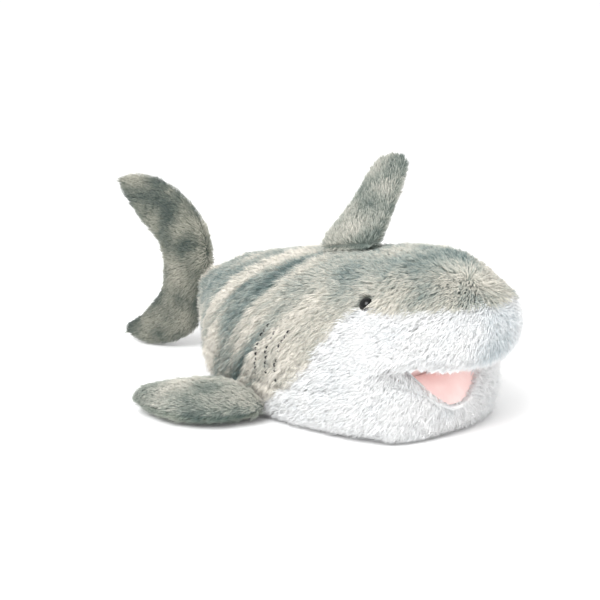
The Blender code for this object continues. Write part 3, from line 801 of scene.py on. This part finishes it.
for sign, side in ((1, "left"), (-1, "right")):
    surface = fin_surface(PECTORAL, pectoral_place(sign), 0.55)
    body = f"pectoral_{side}"
    half_shells(body, surface, ("top", "bottom"), grey_backing, body)
    fur(f"{body}_fur_top", surface, (0.0, 0.985), ROUND, FIN_YARN, body,
        fin_tone(22, 0.56, 0.5), comb_pectoral, top_half, length=6.5, depth=FIN_DEPTH, density=1.15,
        clump=0.22, width=0.38)
    fur(f"{body}_fur_bottom", surface, (0.0, 0.985), ROUND, UNDER_YARN, body,
        fin_tone(22, 0.5, 0.4), comb_pectoral, bottom_half, length=6.5, depth=FIN_DEPTH, density=0.9,
        clump=0.22, width=0.38)

surface = fin_surface(DORSAL, dorsal_place())
half_shells("dorsal", surface, ("right", "left"), grey_backing, "dorsal_fin")
fur("dorsal_fur_right", surface, (0.0, 0.985), ROUND, FIN_YARN, "dorsal_fin",
    fin_tone(24, 0.5, 0.5), comb_dorsal, top_half, length=6.5, depth=FIN_DEPTH, clump=0.22, width=0.38)
fur("dorsal_fur_left", surface, (0.0, 0.985), ROUND, FIN_YARN, "dorsal_fin",
    fin_tone(24, 0.55, 0.5), comb_dorsal, bottom_half, length=6.5, depth=FIN_DEPTH, clump=0.22, width=0.38)

surface = fin_surface(TAIL_FIN, tail_place())
half_shells("tail_fin", surface, ("left", "right"), tail_backing, "tail")
fur("tail_fur_left", surface, (0.015, 0.985), ROUND, TAIL_YARN, "tail",
    fin_tone(17, 0.52, 0.75, 0.2), comb_tail, top_half, length=5.8, depth=FIN_DEPTH, clump=0.2,
    width=0.38, density=1.15)
fur("tail_fur_right", surface, (0.015, 0.985), ROUND, TAIL_YARN, "tail",
    fin_tone(17, 0.52, 0.75, 0.2), comb_tail, bottom_half, length=5.8, depth=FIN_DEPTH, clump=0.2,
    width=0.38, density=1.15)

# Mouth

palate_vs = np.linspace(1 - 0.5, HEAD_END - 1, 30)
palate_angles = np.linspace(math.radians(-122), math.radians(-58), 30)
palate = shell("palate_velour", muzzle, palate_vs, palate_angles, 2.5, 1.2, pink_velour,
               "body")
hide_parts("palate_lining")
tongue_vs = np.concatenate((np.linspace(0.22, 1, 12), np.linspace(1, JAW_END, 8)[1:]))
tongue_angles = np.linspace(math.radians(34), math.radians(146), 40)
tongue = shell("jaw_velour", jaw, tongue_vs, tongue_angles, 2.6, 1.2, pink_velour, "jaw")
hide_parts("jaw_lining")


def teeth(name, surface, angle, vs, height, pitch, direction, body):
    """A scalloped felt strip caught in the lip's seam, with a row of points."""
    v = np.linspace(vs[0], vs[1], 60)
    side = surface(v, np.full(60, math.radians(angle)), 1.5)
    turn = np.linspace(math.radians(angle), math.radians(90 * direction), 20)[1:-1]
    side = np.concatenate((side, surface(np.full(18, vs[1]), turn, 1.5)))
    path = np.concatenate((side, side[::-1] * np.array((-1, 1, 1))))
    run = np.concatenate(((0,), np.cumsum(np.linalg.norm(np.diff(path, axis=0), axis=1)))) / MM
    count = max(2, round(run[-1] / pitch))
    samples = count * 8 + 1
    at = np.linspace(0, run[-1], samples)
    points = np.stack([np.interp(at, run, path[:, k]) for k in range(3)], 1)
    forward = unit(np.gradient(points, axis=0))
    inward = unit(np.stack((-forward[:, 1], forward[:, 0], np.zeros(samples)), 1))
    phase = np.abs((np.arange(samples) % 8) / 4 - 1)
    edge = np.minimum(at, run[-1] - at)
    drop = 1.0 + height * (0.5 + 0.5 * np.exp(-edge / 20.0)) * (1 - phase) ** 0.8
    up = np.array((0, 0, 1.0)) * direction
    rows = []
    for share, thick in ((-1.2, 0.5), (0.35, 0.5), (0.8, 0.4), (1.0, 0.15)):
        reach = np.where(share < 0, share, drop * share)[:, None] * MM
        rows.append((points + up * reach - inward * thick * MM, points + up * reach + inward * thick * MM))
    outer, inner = [r[0] for r in rows], [r[1] for r in rows]
    ring = np.stack(outer + inner[::-1], 1)
    size = ring.shape[1]
    faces = []
    for i in range(samples - 1):
        for j in range(size):
            k = (j + 1) % size
            faces.append((i * size + j, i * size + k, (i + 1) * size + k, (i + 1) * size + j))
    faces.append(tuple(reversed(range(size))))
    faces.append(tuple(range((samples - 1) * size, samples * size)))
    obj = mesh_object(name, ring.reshape(-1, 3), faces, [white_felt])
    return settle(obj, body)


upper = teeth("upper_teeth_felt", muzzle, -60, (HEAD_END - 14, 3.0), 5.2, 7.5, -1, "body")
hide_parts("upper_teeth")
lower_row = teeth("lower_teeth_felt", jaw, 42, (JAW_END - 1, 0.1), 0.8, 6.5, 1, "jaw")
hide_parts("lower_teeth")


def web(sign):
    """The cheek that closes the corner of the mouth, from the upper lip down to the jaw."""
    def surface(v, s, inset):
        top = muzzle(v - NOSE_Y - MUZZLE_ROUND + 1, np.full(np.shape(v), math.radians(-60)), inset)
        along_jaw = v - JAW_FRONT_Y - JAW_ROUND + 1 - 2 * s * step(-120, -135, v)
        low = jaw(along_jaw, np.full(np.shape(v), math.radians(42)), inset)
        bulge = np.stack((2.0 * np.sin(math.pi * s), 0 * s, 0 * s), -1) * MM
        p = top * (1 - s)[..., None] + low * s[..., None] + bulge
        return p * np.array((sign, 1, 1))
    return surface


def comb_cheek(p, n, along, across, v, a):
    way = np.zeros_like(n)
    way[:, 0] = 0.5 * np.sign(p[:, 0])
    way[:, 1] = -0.3
    way[:, 2] = -0.8
    return way


CLOSE = ("body", "jaw", (0, -0.14, 0.058), (0, -0.14, 0.040))
for sign, side in ((1, "left"), (-1, "right")):
    shell(f"cheek_backing_{side}", web(sign), np.linspace(-133, -117, 14), np.linspace(0, 1, 12), PLUSH, 1.0,
          white_backing, None, CLOSE)
    fur(f"cheek_fur_{side}", web(sign), (-133, -117), (0.0, 1.0), WHITE_YARN, None, white_tone,
        comb_cheek, length=8.5, fluff=0.3, lift=(46, 14), clump=0.15, density=1.5, blend=CLOSE)

def pocket(v, s, inset):
    """The lining at the back of the mouth, from the palate down to the lower jaw; v runs across it."""
    roof = smooth(LIP, -128.0) + 4
    floor = smooth(JAW_TOP, -130.0) - 5
    bow = 1 - v**2
    return placed(44.0 * v, -131.0 + 7.0 * bow - inset, roof + (floor - roof) * s)


shell("mouth_pocket_velour", pocket, np.linspace(-1, 1, 30), np.linspace(0, 1, 8), 0.0, 1.2, pink_velour,
      None, CLOSE)

# Eyes, washers and gill stitches


def outward_frame(y, z, sign):
    v = np.array([y - NOSE_Y - MUZZLE_ROUND + 1.0]) if y < SPLIT_Y else np.array([float(y)])
    surface = muzzle if y < SPLIT_Y else torso
    a = angle_at(surface, v, np.array([z]), 0.0)
    _, _, normal = tangents(surface, v, a, 0.0, 0.5, 0.02)
    point = surface(v, a, 0.0)[0] * np.array((sign, 1, 1))
    return Vector(point), Vector(normal[0] * np.array((sign, 1, 1)))


def turned(name, profile, place, material, count=48):
    rows = len(profile)
    points = []
    for j in range(count):
        c, s = math.cos(2 * math.pi * j / count), math.sin(2 * math.pi * j / count)
        points += [place @ (Vector((r * c, r * s, z)) * MM) for r, z in profile[1:-1]]
    top = place @ Vector((0, 0, profile[0][1] * MM))
    end = place @ Vector((0, 0, profile[-1][1] * MM))
    size = rows - 2
    points += [top, end]
    faces = []
    for j in range(count):
        k = (j + 1) % count
        for i in range(size - 1):
            faces.append((j * size + i, j * size + i + 1, k * size + i + 1, k * size + i))
        faces.append((count * size, j * size, k * size))
        faces.append((count * size + 1, k * size + size - 1, j * size + size - 1))
    return mesh_object(name, points, faces, [material])


for sign, side in ((1, "left"), (-1, "right")):
    where, normal = outward_frame(*EYE_AT, sign)
    place = normal.to_track_quat("Z", "Y").to_matrix().to_4x4()
    place.translation = where - normal * EYE_SINK * MM
    dome = [(EYE_R * math.sin(t), 0.75 * EYE_R * math.cos(t)) for t in np.linspace(0, math.pi / 2, 14)]
    profile = [*dome, (EYE_R * 0.98, -0.5), (EYE_R * 0.8, -0.9), (2.0, -1.0), (2.0, -14.0), (0, -14.0)]
    eye = turned(f"eye_dome_{side}", profile, place, eye_black)
    settle(eye, "body")
    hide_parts(f"eye_{side}")
    washer = frame["nodes"][f"eye_washer_{side}"]
    washer.data.materials.clear()
    washer.data.materials.append(washer_white)

GILL_YS = (-50.0, -39.0, -28.0)
GILL_Z = (34.0, 74.0)


def dash(points, radius, sides=8):
    """A short rounded stitch along points."""
    points = np.array(points)
    forward = unit(np.gradient(points, axis=0))
    helper = np.array((0.0, 0.0, 1.0))
    one = unit(np.cross(forward, helper))
    two = np.cross(forward, one)
    scale = np.concatenate(((0.35, 0.85), np.ones(len(points) - 4), (0.85, 0.35)))
    ring = []
    for j in range(sides):
        a = 2 * math.pi * j / sides
        ring.append(points + (one * math.cos(a) + two * math.sin(a)) * (radius * scale)[:, None] * MM)
    ring = np.stack(ring, 1)
    faces = []
    for i in range(len(points) - 1):
        for j in range(sides):
            k = (j + 1) % sides
            faces.append((i * sides + j, i * sides + k, (i + 1) * sides + k, (i + 1) * sides + j))
    faces.append(tuple(reversed(range(sides))))
    faces.append(tuple(range((len(points) - 1) * sides, len(points) * sides)))
    return ring.reshape(-1, 3), faces


for sign, side in ((1, "left"), (-1, "right")):
    for number, gill_y in enumerate(GILL_YS, 1):
        points, faces = [], []
        stitches = 11
        for k in range(stitches):
            if rng.random() < (0.30, 0.12, 0.38)[number - 1]:
                continue
            start, reach = 0.05 + 0.2 * rng.random(), 0.45 + 0.3 * rng.random()
            t = (k + start + reach * np.linspace(0, 1, 9)) / stitches
            z = GILL_Z[0] + (GILL_Z[1] - GILL_Z[0]) * t
            y = gill_y + 5 * (1 - (2 * t - 1) ** 2) - 6 * t + 1.6 * (rng.random() - 0.5)
            a = angle_at(torso, y, z, 0.0)
            path = torso(y, a, 0.0)
            _, _, n = tangents(torso, y, a, 0.0, 0.5, 0.02)
            height = 1.2 - 1.4 * np.abs(np.linspace(-1, 1, 9)) ** 2 - 0.5 * rng.random()
            path = (path + n * height[:, None] * MM) * np.array((sign, 1, 1))
            more, rings = dash(path, 0.6)
            faces += [tuple(i + len(points) for i in f) for f in rings]
            points += list(more)
        obj = mesh_object(f"gill_stitching_{side}_{number}", points, faces, [thread])
        settle(obj, "body")
        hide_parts(f"gill_stitches_{side}_{number}")

# Filling: loose fibre in place of each plain solid


SNUG = {"head_filling": ((0, -123, 84), (0.92, 0.84, 0.8)), "jaw_filling": ((0, -131, 20), (0.78, 0.5, 0.75))}


def stuffing(node, body):
    source = frame["nodes"][node]
    mesh = source.data.copy()
    mesh.materials.clear()
    mesh.materials.append(fibre)
    obj = bpy.data.objects.new(f"{node}_fibre", mesh)
    bpy.context.scene.collection.objects.link(obj)
    co = np.array([v.co for v in mesh.vertices])
    normals = np.array([v.normal for v in mesh.vertices])
    wave = np.array([value_noise(p, 120) for p in co])[:, None]
    co = co - normals * (0.3 + 1.4 * wave) * MM
    middle, scale = SNUG.get(node, ((0, 0, 0), (1, 1, 1)))
    co = (co - np.array(middle) * MM) * np.array(scale) + np.array(middle) * MM
    mesh.vertices.foreach_set("co", co.astype(np.float32).reshape(-1))
    mesh.update()
    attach(obj, body)
    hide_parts(node)


BODIES = frame["record"]["behaviour"]["bodies"]
for body, nodes in BODIES.items():
    for node in nodes:
        if node.endswith("_filling"):
            stuffing(node, body)

# Floor, light and camera

floor_material = principled("pale_floor", (250, 250, 250), 0.9)
floor = mesh_object("floor", [(-4, -4, 0), (4, -4, 0), (4, 4, 0), (-4, 4, 0)], [(0, 1, 2, 3)],
                    [floor_material], smooth_shade=False)

world = bpy.data.worlds.new("studio")
bpy.context.scene.world = world
world.use_nodes = True
world.node_tree.nodes["Background"].inputs["Color"].default_value = (1, 1, 1, 1)
world.node_tree.nodes["Background"].inputs["Strength"].default_value = 1.05
bpy.context.scene.view_settings.view_transform = "Standard"


def lamp(name, place, target, size, power, color=(1, 1, 1)):
    data = bpy.data.lights.new(name, "AREA")
    data.shape = "SQUARE"
    data.size = size
    data.energy = power
    data.color = color
    made = bpy.data.objects.new(name, data)
    made.location = place
    made.rotation_euler = (Vector(target) - Vector(place)).to_track_quat("-Z", "Y").to_euler()
    bpy.context.scene.collection.objects.link(made)


lamp("key", (-1.6, -0.6, 1.8), (0, 0, 0.05), 1.4, 52)
lamp("fill", (-0.5, -2.2, 1.2), (0, 0, 0.05), 1.6, 9)

AZIMUTH, ELEVATION, DISTANCE = math.radians(-41.2), math.radians(15.0), 1.15
back = Vector((math.sin(AZIMUTH) * math.cos(ELEVATION), -math.cos(AZIMUTH) * math.cos(ELEVATION),
               math.sin(ELEVATION)))
right = Vector((math.cos(AZIMUTH), math.sin(AZIMUTH), 0))
upward = back.cross(right)
aim = Vector((0, SHIFT_Y, 80)) * MM - right * 14.65 * MM - upward * 9.25 * MM
lens = bpy.data.cameras.new("camera")
lens.sensor_width = 36
lens.lens = 89.5
camera = bpy.data.objects.new("camera", lens)
bpy.context.scene.collection.objects.link(camera)
camera.matrix_world = Matrix((right, upward, back)).transposed().to_4x4()
camera.location = aim + back * DISTANCE
bpy.context.scene.camera = camera
